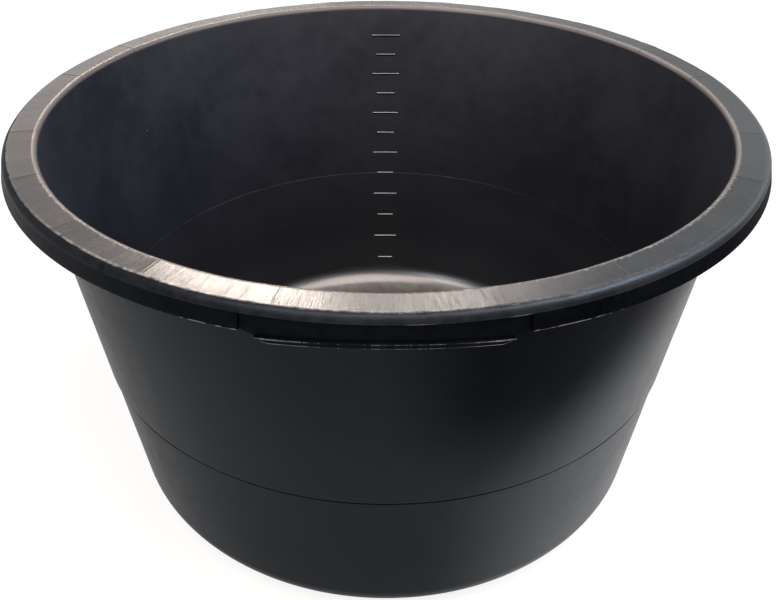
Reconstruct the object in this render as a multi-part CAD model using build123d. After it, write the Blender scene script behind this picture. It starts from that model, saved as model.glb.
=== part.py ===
from build123d import *
import os
from math import asin, cos, degrees, hypot, pi, radians, sin, sqrt, tan

os.makedirs("parts", exist_ok=True)

# Round mortar mixing tub, one polyethylene moulding with no moving parts. Millimetres and
# degrees. The tub stands on z = 0, its axis is Z, and the front grip faces -Y. Each node is
# one feature of the moulding, cut where the features meet, so that neighbours lie face to face.

# Wall
tub_height = 345.5        # ground to the flat top of the rim
mouth_radius = 283.0      # outside of the wall, carried up to the top of the rim
wall_draft = 8.1          # lean of the wall, outwards
wall_thickness = 4.0
wall_sectors = 8          # the walls and the corner are built as this many equal sectors
step_height = 148.5       # ground to the step line round the outside
step_inset = 1.2          # the wall sets in by this much below the step
step_belt = 3.5           # the ledge inside lies this far above the line outside

# Floor and heel
foot_height = 4.5         # standing ring, from the ground to the heel
foot_width = 10.0         # width of the standing ring where it meets the heel
foot_taper = 1.5          # the ring is this much narrower on the ground, on each side
recess_depth = 10.0       # ground to the underside of the floor
floor_thickness = 4.0
cove_radius = 28.0        # inside bend between floor and wall
heel_radius = 32.0        # outside bend from the wall down to the standing ring
bend_margin = 2.0         # straight wall kept in the bend's own node
gate_radius = 7.0         # moulding mark in the middle of the underside
gate_height = 1.5

# Rim
rim_overhang = 17.0        # crisp outer edge of the flat top, outside the mouth's radius
land_thickness = 4.0
mouth_fillet = 4.0         # between the flat top and the inside of the wall
shoulder_radius = 6.5      # rounding from the flat top down to the skirt
shoulder_start = 70.0      # slope of the rounding's normal at the crisp edge
skirt_thickness = 3.5
skirt_depth = 17.2         # lower edge of the skirt below the flat top
skirt_flare = 2.2          # the skirt leans out by this much over its height
skirt_edge_radius = 1.0

# Grips, front and rear
grip_half_angle = 15.8      # end of the grip's panel, from the middle of the grip
grip_recess = 1.5           # the panel lies this far behind the rounding above it
grip_flare = 1.0            # the panel leans out by this much over its height
panel_depth = 20.0          # lower edge of the panel at its ends, below the flat top
lip_height = 3.5
lip_proud = 2.3             # the lip stands out from the panel by this much
lip_bow = 2.0               # the lip is this much higher in its middle
lip_half_length = 66.0      # lower edge of the lip, from its middle to its end
lip_edge_radius = 0.8

# Ribs inside the hollow rim
ribs_per_quarter = 5
rib_angle = 16.4            # from rib to rib
rib_thickness = 2.2
rib_setback = 2.0           # the ribs end this far above the skirt's lower edge

# Litre marks on the inside of the rear wall
litres_per_mark = 5.0
mark_count = 12
long_mark_angle = 6.5
short_mark_angle = 4.4
mark_height = 1.8
mark_relief = 0.8

quarter = 90
cubic_mm_per_litre = 1e6

slope = tan(radians(wall_draft))
wall_run = wall_thickness / cos(radians(wall_draft))
floor_top = recess_depth + floor_thickness
ledge_height = step_height + step_belt
land_outer_radius = mouth_radius + rim_overhang
under_land = tub_height - land_thickness


def upper_outer(z):
    """Outer radius of the wall above the step."""
    return mouth_radius - (tub_height - z) * slope


def lower_outer(z):
    """Outer radius of the wall below the step."""
    return upper_outer(z) - step_inset


def upper_inner(z):
    return upper_outer(z) - wall_run


def lower_inner(z):
    return lower_outer(z) - wall_run


# The bend: the cove inside and the heel outside are each tangent to the wall, and the corner
# between them thickens downwards into the heel.
cove_centre_z = floor_top + cove_radius
cove_end_z = cove_centre_z - cove_radius * sin(radians(wall_draft))
cove_centre_r = lower_inner(cove_end_z) - cove_radius * cos(radians(wall_draft))
heel_centre_z = foot_height + heel_radius
heel_end_z = heel_centre_z - heel_radius * sin(radians(wall_draft))
heel_centre_r = lower_outer(heel_end_z) - heel_radius * cos(radians(wall_draft))
foot_inner_radius = heel_centre_r - foot_width
bend_top = max(cove_end_z, heel_end_z) + bend_margin

# The shoulder: its arc starts at the crisp edge of the flat top and ends upright.
shoulder_centre_r = land_outer_radius - shoulder_radius * cos(radians(shoulder_start))
shoulder_bottom = tub_height - shoulder_radius * sin(radians(shoulder_start))
shoulder_outer = shoulder_centre_r + shoulder_radius
skirt_bottom = tub_height - skirt_depth
skirt_slope = skirt_flare / (shoulder_bottom - skirt_bottom)
panel_end_z = tub_height - panel_depth
panel_top_radius = shoulder_outer - grip_recess
panel_slope = grip_flare / (shoulder_bottom - panel_end_z)
lip_end_z = panel_end_z - lip_height
lip_outer_radius = panel_top_radius + grip_flare + lip_proud
rib_bottom = skirt_bottom + rib_setback


def skirt_outer(z):
    return shoulder_outer + (shoulder_bottom - z) * skirt_slope


def panel_outer(z):
    return panel_top_radius + (shoulder_bottom - z) * panel_slope


def at(r, z):
    """A point of a section: radius from the tub's axis and height."""
    return Vector(r, 0, z)


def lines(*points):
    """Straight edges from point to point."""
    return [Edge.make_line(a, b) for a, b in zip(points, points[1:])]


def arc(centre_r, centre_z, radius, start, end):
    """Circular edge of a section. Angles are from the outward direction, upwards."""
    turns = [radians(start), radians((start + end) / 2), radians(end)]
    points = [at(centre_r + radius * cos(t), centre_z + radius * sin(t)) for t in turns]
    return Edge.make_three_point_arc(*points)


def turned(edges, middle=None, half_angle=180.0):
    """Solid of revolution about the tub's axis, whole or as a sector about an azimuth."""
    face = Face(Wire(edges))
    solid = revolve(face, axis=Axis.Z, revolution_arc=2 * half_angle)
    if middle is None:
        return solid
    return Rot(0, 0, middle - half_angle) * solid


def ring(*points, middle=None, half_angle=180.0):
    """Turned solid with a straight-sided section."""
    return turned(lines(*points, points[0]), middle, half_angle)


def band(bottom, top, inner, outer, **sector):
    """Stretch of the cone-shaped wall between two heights."""
    return ring(
        at(inner(bottom), bottom),
        at(outer(bottom), bottom),
        at(outer(top), top),
        at(inner(top), top),
        **sector,
    )


def sectors(make):
    """The same section turned through equal sectors, which meet face to face."""
    half = 180 / wall_sectors
    return [make(middle=(2 * i + 1) * half, half_angle=half) for i in range(wall_sectors)]


def foot_ring():
    return ring(
        at(foot_inner_radius + foot_taper, 0),
        at(heel_centre_r - foot_taper, 0),
        at(heel_centre_r, foot_height),
        at(foot_inner_radius, foot_height),
    )


def floor_panel():
    return Pos(0, 0, recess_depth) * Cylinder(
        foot_inner_radius, floor_thickness, align=(Align.CENTER, Align.CENTER, Align.MIN)
    )


def gate_mark():
    return Pos(0, 0, recess_depth) * Cylinder(
        gate_radius, gate_height, align=(Align.CENTER, Align.CENTER, Align.MAX)
    )


def bottom_corner(**sector):
    """Bend from wall to floor, thickened outside into the heel over the standing ring."""
    inside = arc(cove_centre_r, cove_centre_z, cove_radius, -90, -wall_draft)
    outside = arc(heel_centre_r, heel_centre_z, heel_radius, -wall_draft, -90)
    top = lines(
        inside @ 1,
        at(lower_inner(bend_top), bend_top),
        at(lower_outer(bend_top), bend_top),
        outside @ 0,
    )
    underside = lines(
        outside @ 1,
        at(foot_inner_radius, foot_height),
        at(foot_inner_radius, floor_top),
        inside @ 0,
    )
    return turned([inside, *top, outside, *underside], **sector)


def lower_wall(**sector):
    return band(bend_top, step_height, lower_inner, lower_outer, **sector)


def wall_step():
    """Belt at the step: the line outside is its lower edge, the ledge inside its upper one."""
    return band(step_height, ledge_height, lower_inner, upper_outer)


def upper_wall(**sector):
    return band(ledge_height, under_land, upper_inner, upper_outer, **sector)


def rim_land():
    """Flat top of the rim, with the rounded mouth inside it."""
    reach = mouth_fillet * tan(radians((90 - wall_draft) / 2))
    centre_r = upper_inner(tub_height) + reach
    centre_z = tub_height - mouth_fillet
    mouth = arc(centre_r, centre_z, mouth_fillet, 180 - wall_draft, 90)
    outline = lines(
        mouth @ 1,
        at(land_outer_radius, tub_height),
        at(land_outer_radius, under_land),
        at(upper_inner(under_land), under_land),
        mouth @ 0,
    )
    return turned([mouth, *outline])


def rim_shoulder():
    """Rounding between the flat top and the skirt."""
    outside = arc(shoulder_centre_r, shoulder_bottom, shoulder_radius, 0, shoulder_start)
    inside = lines(
        at(land_outer_radius, tub_height),
        at(land_outer_radius, under_land),
        at(shoulder_outer - skirt_thickness, shoulder_bottom),
        at(shoulder_outer, shoulder_bottom),
    )
    return turned([outside, *inside])


def skirt(middle):
    """Half of the skirt, between the two grips."""
    lean = degrees(asin(skirt_slope / sqrt(1 + skirt_slope**2)))
    edge_z = skirt_bottom + skirt_edge_radius
    edge_r = skirt_outer(edge_z) - skirt_edge_radius * cos(radians(lean))
    edge_z -= skirt_edge_radius * sin(radians(lean))
    edge = arc(edge_r, edge_z, skirt_edge_radius, -90, lean)
    low_z = (edge @ 0).Z
    outline = lines(
        edge @ 1,
        at(shoulder_outer, shoulder_bottom),
        at(shoulder_outer - skirt_thickness, shoulder_bottom),
        at(skirt_outer(low_z) - skirt_thickness, low_z),
        edge @ 0,
    )
    return turned([edge, *outline], middle, quarter - grip_half_angle)


def bowed_line(drop):
    """Arc across the grip as seen from the front, this far below the panel's lower edge."""
    span = panel_outer(panel_end_z)
    middle_z = panel_end_z + lip_bow - drop
    side_z = middle_z - lip_bow * (span / lip_half_length) ** 2
    return Edge.make_three_point_arc(
        Vector(-span, 0, side_z), Vector(0, 0, middle_z), Vector(span, 0, side_z)
    )


def front_cutter(edges):
    """Prism along Y from an outline seen from the front, through the front of the rim only."""
    return extrude(Face(Wire(edges)), amount=2 * mouth_radius, dir=(0, -1, 0))


def grip_outline():
    """Outline of the grip from the front: upright at the top, slanted at its lower ends."""
    span = panel_outer(panel_end_z)
    corner = skirt_outer(skirt_bottom) * sin(radians(grip_half_angle))
    foot_z = 2 * lip_end_z - panel_end_z
    slant = (corner - lip_half_length) / (skirt_bottom - lip_end_z)
    foot_x = lip_half_length - slant * (lip_end_z - foot_z)
    right = [(span, tub_height), (span, skirt_bottom), (corner, skirt_bottom), (foot_x, foot_z)]
    left = [(-x, z) for x, z in reversed(right)]
    points = [Vector(x, 0, z) for x, z in right + left]
    return front_cutter(lines(*points, points[0]))


def below(drop):
    """Everything of the front grip below the bowed line at this drop."""
    top = bowed_line(drop)
    deep = panel_depth + 2 * lip_height
    left, right = top @ 0, top @ 1
    down = Vector(0, 0, -deep)
    return front_cutter([top, *lines(right, right + down, left + down, left)])


def front_blank(inner, outer):
    """Sector of the grip's full width and depth between two radii given as functions of z."""
    low = lip_end_z - lip_height
    return ring(
        at(inner(low), low),
        at(outer(low), low),
        at(outer(shoulder_bottom), shoulder_bottom),
        at(inner(shoulder_bottom), shoulder_bottom),
        middle=-quarter,
        half_angle=grip_half_angle,
    )


def panel_inner(z):
    return panel_outer(z) - skirt_thickness


def front_grip_panel():
    blank = front_blank(panel_inner, panel_outer) & grip_outline()
    return blank - below(0)


def middle_radius(edge):
    """Distance of an edge's middle from the tub's axis."""
    middle = edge @ 0.5
    return hypot(middle.X, middle.Y)


def front_grip_lip():
    blank = front_blank(panel_inner, lambda z: lip_outer_radius) & grip_outline()
    bar = (blank & below(0)) - below(lip_height)
    long_edges = [edge for edge in bar.edges() if edge.length > lip_half_length]
    proud_radius = lip_outer_radius - lip_proud / 2
    front_edges = [edge for edge in long_edges if middle_radius(edge) > proud_radius]
    return fillet(front_edges, lip_edge_radius)


def rim_hollow(panel=False):
    """Ring of space under the rim, from the wall to the skirt or to a grip's panel."""
    facing = panel_outer if panel else skirt_outer
    behind_recess = [at(panel_top_radius - skirt_thickness, shoulder_bottom)] if panel else []
    return ring(
        at(upper_outer(under_land), under_land),
        at(land_outer_radius, under_land),
        at(shoulder_outer - skirt_thickness, shoulder_bottom),
        *behind_recess,
        at(facing(rib_bottom) - skirt_thickness, rib_bottom),
        at(upper_outer(rib_bottom), rib_bottom),
    )


def rib(azimuth, hollow):
    """One radial plate in the hollow rim."""
    plate = Box(2 * land_outer_radius, rib_thickness, 2 * skirt_depth)
    return (Rot(0, 0, azimuth) * Pos(land_outer_radius, 0, tub_height) * plate) & hollow


def rib_azimuths():
    """Azimuths of all ribs: each quarter holds one group, about the quarter's middle."""
    from_middle = [(i - (ribs_per_quarter - 1) / 2) * rib_angle for i in range(ribs_per_quarter)]
    return [(turn + 0.5) * quarter + step for turn in range(4) for step in from_middle]


def is_grip_rib(azimuth):
    """True within either grip's sector, which are about azimuths 90 and 270."""
    return abs(abs(azimuth % 360 - 180) - quarter) < grip_half_angle


def inside_radius(z):
    """Radius of the inside of the tub at a height."""
    if z > ledge_height:
        return upper_inner(z)
    if z > cove_end_z:
        return lower_inner(z)
    return cove_centre_r + sqrt(cove_radius**2 - (cove_centre_z - z) ** 2)


def fill_heights():
    """Heights of the marks: the level at which each whole number of marks' litres is reached."""
    slice_height = 0.1
    heights = []
    volume = 0.0
    z = floor_top
    while len(heights) < mark_count and z < tub_height:
        radius = inside_radius(z + slice_height / 2)
        volume += pi * radius**2 * slice_height
        z += slice_height
        if volume >= (len(heights) + 1) * litres_per_mark * cubic_mm_per_litre:
            heights.append(z)
    return heights


def litre_mark(z, angle):
    """Thin raised bar on the rear wall, centred on its level. Its back follows the ledge."""
    low = z - mark_height / 2
    high = z + mark_height / 2
    ledge = []
    if low < ledge_height < high:
        ledge = [at(lower_inner(ledge_height), ledge_height), at(upper_inner(ledge_height), ledge_height)]
    return ring(
        at(inside_radius(low) - mark_relief, low),
        at(inside_radius(low), low),
        *ledge,
        at(inside_radius(high), high),
        at(inside_radius(high) - mark_relief, high),
        middle=quarter,
        half_angle=angle / 2,
    )


def write(name, *solids):
    shape = solids[0] if len(solids) == 1 else Compound(list(solids))
    export_step(shape, f"parts/{name}.step")


write("foot_ring", foot_ring())
write("floor_panel", floor_panel())
write("gate_mark", gate_mark())
write("bottom_corner", *sectors(bottom_corner))
write("lower_wall", *sectors(lower_wall))
write("wall_step", wall_step())
write("upper_wall", *sectors(upper_wall))
write("rim_land", rim_land())
write("rim_shoulder", rim_shoulder())
write("skirt_right", skirt(0))
write("skirt_left", skirt(180))

turn = Rot(0, 0, 180)
panel = front_grip_panel()
lip = front_grip_lip()
write("front_grip_panel", panel)
write("front_grip_lip", lip)
write("rear_grip_panel", turn * panel)
write("rear_grip_lip", turn * lip)

plain_hollow = rim_hollow()
grip_hollow = rim_hollow(panel=True)
rim_ribs = [rib(a, plain_hollow) for a in rib_azimuths() if not is_grip_rib(a)]
grip_ribs = [rib(a, grip_hollow) for a in rib_azimuths() if is_grip_rib(a)]
write("rim_ribs", *rim_ribs)
write("front_grip_ribs", *[r for r in grip_ribs if r.center().Y < 0])
write("rear_grip_ribs", *[r for r in grip_ribs if r.center().Y > 0])

levels = fill_heights()
write("long_litre_marks", *[litre_mark(z, long_mark_angle) for z in levels[1::2]])
write("short_litre_marks", *[litre_mark(z, short_mark_angle) for z in levels[0::2]])
print("fill levels", [round(z, 1) for z in levels])
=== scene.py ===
import math

import bpy
import numpy as np
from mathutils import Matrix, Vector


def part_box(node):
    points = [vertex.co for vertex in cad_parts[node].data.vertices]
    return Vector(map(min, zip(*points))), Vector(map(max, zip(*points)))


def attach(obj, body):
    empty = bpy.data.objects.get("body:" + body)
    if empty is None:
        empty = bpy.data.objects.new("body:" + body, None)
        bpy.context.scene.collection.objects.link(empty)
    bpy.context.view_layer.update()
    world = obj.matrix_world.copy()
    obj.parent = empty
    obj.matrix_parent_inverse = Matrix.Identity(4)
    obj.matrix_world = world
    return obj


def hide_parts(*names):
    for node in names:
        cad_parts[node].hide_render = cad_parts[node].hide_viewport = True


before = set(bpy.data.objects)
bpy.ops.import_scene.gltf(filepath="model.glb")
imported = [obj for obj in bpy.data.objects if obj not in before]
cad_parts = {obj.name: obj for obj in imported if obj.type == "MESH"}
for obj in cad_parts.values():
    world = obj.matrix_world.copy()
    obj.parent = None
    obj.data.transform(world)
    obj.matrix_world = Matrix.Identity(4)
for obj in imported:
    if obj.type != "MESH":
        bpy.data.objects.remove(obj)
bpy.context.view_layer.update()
body = "root"
print("stage: frame loaded")

# The shared shape of the moulding, in metres. What a node's box says is read from it.
tub = {
    "height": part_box("rim_land")[1].z,
    "landOuter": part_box("rim_land")[1].x,
    "landUnder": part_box("rim_land")[0].z,
    "shoulderOuter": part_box("rim_shoulder")[1].x,
    "shoulderLow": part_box("rim_shoulder")[0].z,
    "skirtOuter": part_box("skirt_right")[1].x,
    "skirtLow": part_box("skirt_right")[0].z,
    "floorRadius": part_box("floor_panel")[1].x,
    "floorLow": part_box("floor_panel")[0].z,
    "floorTop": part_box("floor_panel")[1].z,
    "footHeight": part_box("foot_ring")[1].z,
    "footOuter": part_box("foot_ring")[1].x,
    "cornerTop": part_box("bottom_corner")[1].z,
    "ledge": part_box("wall_step")[1].z,
    "mouth": 0.283,             # outside of the wall, carried up to the top of the rim
    "draft": math.radians(8.1),
    "wall": 0.004,
    "stepInset": 0.0012,        # the lower wall stands in by this
    "belt": 0.0035,             # from the step line outside up to the ledge inside
    "cove": 0.028,              # inner round of the bend between floor and wall
    "heel": 0.032,              # outer round of the same bend
    "footTaper": 0.0015,
    "fillet": 0.004,            # round of the mouth
    "shoulder": 0.0065,         # round between the flat top and the skirt
    "skirt": 0.0035,            # how thick the skirt is
    "skirtEdge": 0.001,         # round of its lower edge
    "gripHalfAngle": math.radians(15.8),
    "ribAngles": [12.2, 28.6, 45.0, 61.4, 77.8],   # in each quarter, in degrees
}
slope = math.tan(tub["draft"])
wallRun = tub["wall"] / math.cos(tub["draft"])      # the wall's thickness, measured level
stepLine = tub["ledge"] - tub["belt"]
creaseAngle = math.radians(32)  # edges sharper than this stay crisp
millimetres = 1000              # in a metre


def upperOuter(z):
    # radius = mouth - (height - z) * tan(draft)
    return tub["mouth"] - (tub["height"] - z) * slope


def lowerOuter(z):
    # the upper wall's line, set in by the step
    return upperOuter(z) - tub["stepInset"]


def upperInner(z):
    # the outer line less the wall's thickness
    return upperOuter(z) - wallRun


def lowerInner(z):
    # the lower wall's outer line less the wall's thickness
    return lowerOuter(z) - wallRun


# centres of the bend's inner and outer round, and of the mouth's round
coveZ = tub["floorTop"] + tub["cove"]
coveR = lowerInner(coveZ) - tub["cove"] / math.cos(tub["draft"])
heelZ = tub["footHeight"] + tub["heel"]
heelR = lowerOuter(heelZ) - tub["heel"] / math.cos(tub["draft"])
filletZ = tub["height"] - tub["fillet"]
filletR = upperInner(filletZ) + tub["fillet"] / math.cos(tub["draft"])


def arcPoints(centreR, centreZ, radius, start, end, count, even=True):
    # points (centre + radius * cos a, centre + radius * sin a) for a from start to end
    share = np.linspace(0, 1, count)
    if not even:                # closer together at both ends, where the arc meets a straight run
        share = (1 - np.cos(math.pi * share)) / 2
    a = start + (end - start) * share
    return np.stack([centreR + radius * np.cos(a), centreZ + radius * np.sin(a)], 1)


def runPoints(start, end, count):
    # evenly spaced points of the straight run from start to end, without its end
    share = np.linspace(0, 1, count + 1)[:-1, None]
    return np.array(start) * (1 - share) + np.array(end) * share


def sidePoints(side, low, high, count):
    # points (side(z), z) from low to high, both ends kept
    z = np.linspace(low, high, count + 1)
    return np.stack([side(z), z], 1)


def circle(count):
    # evenly spaced turns from 0 up to a full turn, which is left out
    return np.arange(count) * 2 * math.pi / count


def smoothStep(low, high, x):
    # 0 at low, 1 at high, and 3 t^2 - 2 t^3 between, with t the share of the way
    t = np.clip((x - low) / (high - low), 0, 1)
    return t * t * (3 - 2 * t)


def bell(x, width):
    # 1 at 0, falling to both sides as exp(-(x / width)^2)
    return np.exp(-((x / width) ** 2))


def turnGap(t, centre):
    # the signed way from centre to t, at most half a turn
    return (t - centre + math.pi) % (2 * math.pi) - math.pi


def meshPiece(name, points, faceGroups, wear=None):
    # vertices, and groups of faces with the same number of corners, put in as whole arrays
    mesh = bpy.data.meshes.new(name)
    corners = np.concatenate([g.ravel() for g in faceGroups]).astype(np.int32)
    sizes = np.concatenate([np.full(len(g), g.shape[1]) for g in faceGroups])
    mesh.vertices.add(len(points))
    mesh.vertices.foreach_set("co", np.ascontiguousarray(points, np.float32).ravel())
    mesh.loops.add(len(corners))
    mesh.loops.foreach_set("vertex_index", corners)
    mesh.polygons.add(len(sizes))
    mesh.polygons.foreach_set("loop_start", (np.cumsum(sizes) - sizes).astype(np.int32))
    if wear is not None:
        worn = mesh.attributes.new("wear", "FLOAT", "POINT")
        worn.data.foreach_set("value", np.ascontiguousarray(wear, np.float32).ravel())
    mesh.update(calc_edges=True)
    mesh.validate()
    mesh.shade_smooth()
    mesh.set_sharp_from_angle(angle=creaseAngle)
    made = bpy.data.objects.new(name, mesh)
    bpy.context.scene.collection.objects.link(made)
    return made


def spread(profile, turns):
    # radius, height and turn of every profile point at every turn
    r = np.repeat(profile[None, :, 0], len(turns), 0)
    z = np.repeat(profile[None, :, 1], len(turns), 0)
    return r, z, np.repeat(turns[:, None], len(profile), 1)


def ringGrid(profile, turns, shaping=None):
    # point = (r cos t, r sin t, z) for every turn t and every profile point (r, z)
    r, z, t = spread(profile, turns)
    if shaping:
        r, z = shaping(r, z, t)
    return np.stack([r * np.cos(t), r * np.sin(t), z], -1)


def bandFaces(count, width, closed):
    # one face for each step round the axis and each step along a closed outline
    i = np.arange(count if closed else count - 1)[:, None] * width
    j = (i + width) % (count * width)
    k = np.arange(width)[None, :]
    n = (k + 1) % width
    return np.stack([i + k, j + k, j + n, i + n], -1).reshape(-1, 4)


def lidFaces(count, width):
    # one face over each end of a band that doesn't close
    lid = np.arange(width)
    return np.stack([lid, lid[::-1] + (count - 1) * width])


def ringPiece(name, profile, turns, shaping=None, closed=True, wearing=None):
    # a closed outline, run anticlockwise with r to the right and z up, swept round the axis
    grid = ringGrid(profile, turns, shaping)
    count, width = grid.shape[:2]
    groups = [bandFaces(count, width, closed)]
    if not closed:
        groups.append(lidFaces(count, width))
    wear = wearing(*spread(profile, turns)) if wearing else None
    return meshPiece(name, grid.reshape(-1, 3), groups, wear)


def discPiece(name, profile, turns, shaping=None):
    # an outline that starts and ends on the axis; each end is one point with a fan round it
    grid = ringGrid(profile[1:-1], turns, shaping)
    count, width = grid.shape[:2]
    i = np.arange(count)[:, None] * width
    j = (i + width) % (count * width)
    k = np.arange(width - 1)[None, :]
    quads = np.stack([i + k, j + k, j + k + 1, i + k + 1], -1).reshape(-1, 4)
    first, last = count * width, count * width + 1
    flat, after = i[:, 0], j[:, 0]
    fans = np.concatenate([
        np.stack([np.full(count, first), after, flat], -1),
        np.stack([np.full(count, last), flat + width - 1, after + width - 1], -1),
    ])
    ends = [[0, 0, profile[0, 1]], [0, 0, profile[-1, 1]]]
    points = np.concatenate([grid.reshape(-1, 3), ends])
    return meshPiece(name, points, [quads, fans])


def dress(piece, material, node):
    # gives a piece its material and its body, and hides the node that it stands for
    piece.data.materials.clear()
    piece.data.materials.append(material)
    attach(piece, body)
    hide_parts(node)


class Signal:
    # one output of a node, so that shader maths reads as a plain expression
    def __init__(self, shop, socket):
        self.shop, self.socket = shop, socket

    def __add__(self, other):
        return self.shop.maths("ADD", self, other)

    def __sub__(self, other):
        return self.shop.maths("SUBTRACT", self, other)

    def __rsub__(self, other):
        return self.shop.maths("SUBTRACT", other, self)

    def __mul__(self, other):
        return self.shop.maths("MULTIPLY", self, other)

    def __truediv__(self, other):
        return self.shop.maths("DIVIDE", self, other)

    def __rtruediv__(self, other):
        return self.shop.maths("DIVIDE", other, self)

    __radd__ = __add__
    __rmul__ = __mul__


class Shop:
    # the nodes of one material, or of the world
    def __init__(self, owner):
        owner.use_nodes = True
        self.owner, self.tree = owner, owner.node_tree
        self.tree.nodes.clear()

    def node(self, kind, settings=None, values=None, out=0):
        # settings first, then a value or a link on each socket; gives one output, or all for None
        made = self.tree.nodes.new(kind)
        for key, value in (settings or {}).items():
            setattr(made, key, value)
        for key, value in (values or {}).items():
            socket = made.inputs[key]
            if isinstance(value, Signal):
                self.tree.links.new(value.socket, socket)
            else:
                socket.default_value = value
        if out is None:
            return [Signal(self, socket) for socket in made.outputs]
        return Signal(self, made.outputs[out])

    def maths(self, operation, *values):
        # one Math node on signals and numbers
        return self.node("ShaderNodeMath", {"operation": operation}, dict(enumerate(values)))

    def length(self, a, b):
        # sqrt(a * a + b * b)
        return self.maths("SQRT", a * a + b * b)

    def place(self):
        # where a point is on the object, in metres
        return self.node("ShaderNodeTexCoord", out="Object")

    def worn(self):
        # what a piece's own "wear" attribute says, 0 where it has none; it carries wear, painted
        # shade and painted highlights
        settings = {"attribute_type": "GEOMETRY", "attribute_name": "wear"}
        return self.node("ShaderNodeAttribute", settings, out="Fac")

    def split(self, vector):
        # the three parts of a vector or colour
        return self.node("ShaderNodeSeparateXYZ", None, {0: vector}, out=None)

    def join(self, x, y, z):
        # a vector from three signals or numbers
        return self.node("ShaderNodeCombineXYZ", None, {0: x, 1: y, 2: z})

    def noise(self, vector, scale, detail, roughness):
        # cloudy values round 0.5
        return self.node("ShaderNodeTexNoise", None, {
            "Vector": vector, "Scale": scale, "Detail": detail, "Roughness": roughness})

    def band(self, value, low, high, start=0.0):
        # 0 below low, 1 above high, smooth between; both may be counted from a start
        if start:
            low, high = start + low, start + high
        return self.node("ShaderNodeMapRange", {"interpolation_type": "SMOOTHSTEP"}, {
            "Value": value, "From Min": low, "From Max": high})

    def mix(self, factor, first, second):
        # one colour into another; inputs 6 and 7 and output 2 are the ones for colours
        values = {0: factor, 6: first, 7: second}
        return self.node("ShaderNodeMix", {"data_type": "RGBA"}, values, out=2)

    def bump(self, height, distance, strength, normal=None):
        # relief from a height, on top of an earlier bump if there is one
        values = {"Height": height, "Distance": distance, "Strength": strength}
        if normal is not None:
            values["Normal"] = normal
        return self.node("ShaderNodeBump", None, values)

    def plastic(self, colour, roughness, specular, more):
        # the shader that all finishes share, with more values for its sockets
        values = {"Base Color": colour, "Roughness": roughness,
                  "Specular IOR Level": specular, "IOR": plasticIor}
        return self.node("ShaderNodeBsdfPrincipled", None, {**values, **more})

    def blend(self, factor, first, second):
        # one shader into another
        return self.node("ShaderNodeMixShader", None, {0: factor, 1: first, 2: second})

    def finish(self, shader, kind="ShaderNodeOutputMaterial"):
        # puts the shader on the output and gives the material or world back
        self.node(kind, None, {"Surface": shader}, out=None)
        return self.owner


def newShop(name):
    # starts a new material
    return Shop(bpy.data.materials.new(name))


def rgb(red, green, blue):
    # an opaque colour
    return (red, green, blue, 1.0)


plasticIor = 1.5
axisGap = 0.001                 # keeps the direction round the axis known on the axis itself

wallFinish = {
    "outsideDark": rgb(0.0013, 0.0020, 0.0035),
    "outsideLight": rgb(0.0034, 0.0045, 0.0068),
    "outsideTint": rgb(0.70, 0.87, 1.0),
    "insideDark": rgb(0.0155, 0.0170, 0.0235),
    "insideLight": rgb(0.0325, 0.0343, 0.0440),
    "insideShadeLow": rgb(0.0036, 0.0043, 0.0070),   # painted shade, darker towards the floor
    "insideShadeRise": (0.02, 0.33),                 # it fades out between these heights
    # the colour of painted shade, under the step and under the litre marks
    "paintedShade": rgb(0.0015, 0.0015, 0.0018),
    "dust": rgb(0.34, 0.31, 0.27),
    "roughness": 0.42,
    "roughnessSpread": 0.16,
    "specular": 0.055,
    "middleShift": 0.0008,      # one line between inside and outside serves both walls
    # noises: scale, detail, roughness
    "clouds": (9.0, 3.0, 0.6),
    "scuffs": (60.0, 5.0, 0.65),
    "grain": (900.0, 2.0, 0.5),
    "streaks": (95.0, 4.0, 0.55),
    "streakRun": (0.28, 0.12),  # how fast the streaks change round the wall, and up it
    "cloudShare": 0.6,          # share of the clouds in the tone, the rest is scuffs
    "toneRange": (0.3, 0.7),
    "grainBump": (0.00004, 0.6),                # depth and strength
    "streakBump": (0.00006, 0.5),
    # the inside is rubbed smooth by use, its lower bend most
    "bendPolish": 0.74,
    "wallPolish": 0.45,
    "markPolish": 0.8,
    "polishRise": (0.046, 0.085),
    "polishRoughness": 0.27,
    "polishIor": 1.85,
    # outside the skin is glossy low on the right, dull under the rim in front, between elsewhere
    "dullSpecular": 0.01,
    "glossySpecular": 0.5,
    "glossSmoother": 0.08,      # how much less rough than the inside
    "glossLeft": 0.245,
    "glossRight": 0.70,
    "glossAcross": (0.024, 0.144),
    "glossTop": 0.14,           # above this height the glossy part leans to the right
    "glossLean": 0.9,
    "glossRagged": 0.02,
    "glossFoot": 0.7,           # share of the left side's gloss at the foot
    "glossRise": (0.05, 0.22),
    "dullRise": (0.15, 0.25),
    "dullAcross": (-0.01, 0.07),
    # painted shade in the corner under the step: how far down it goes, and how much more at the
    # sides
    "stepShadeReach": 0.0032,
    "stepShadeSpread": 0.0036,
    "stepShadeSides": (0.0144, 0.042),               # squares of how far to the side
    "stepShadeEdge": 0.8,
    "stepShadeOver": 0.0001,
    "stepShadeStrength": 0.85,
    "stepShadeRoughness": 0.9,
    "paintedShadeRoughness": 0.5,
    # pale specks, at most one in a cell
    "speckCell": 0.030,
    "speckShare": 0.045,        # share of the cells that hold one
    "speckSize": (0.010, 0.014),                # the smallest, and how much more, in cells
    "speckEdge": 0.6,
    "speckStrength": 0.75,
    "speckRoughness": 0.3,
    # dust lying on the floor
    "dustAmount": 0.28,
    "film": (38.0, 5.0, 0.7),
    "filmRange": (0.35, 0.75),
    "filmLeast": 0.4,
    "filmRise": (0.001, 0.012),                 # it thins out between these heights over the floor
}


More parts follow.
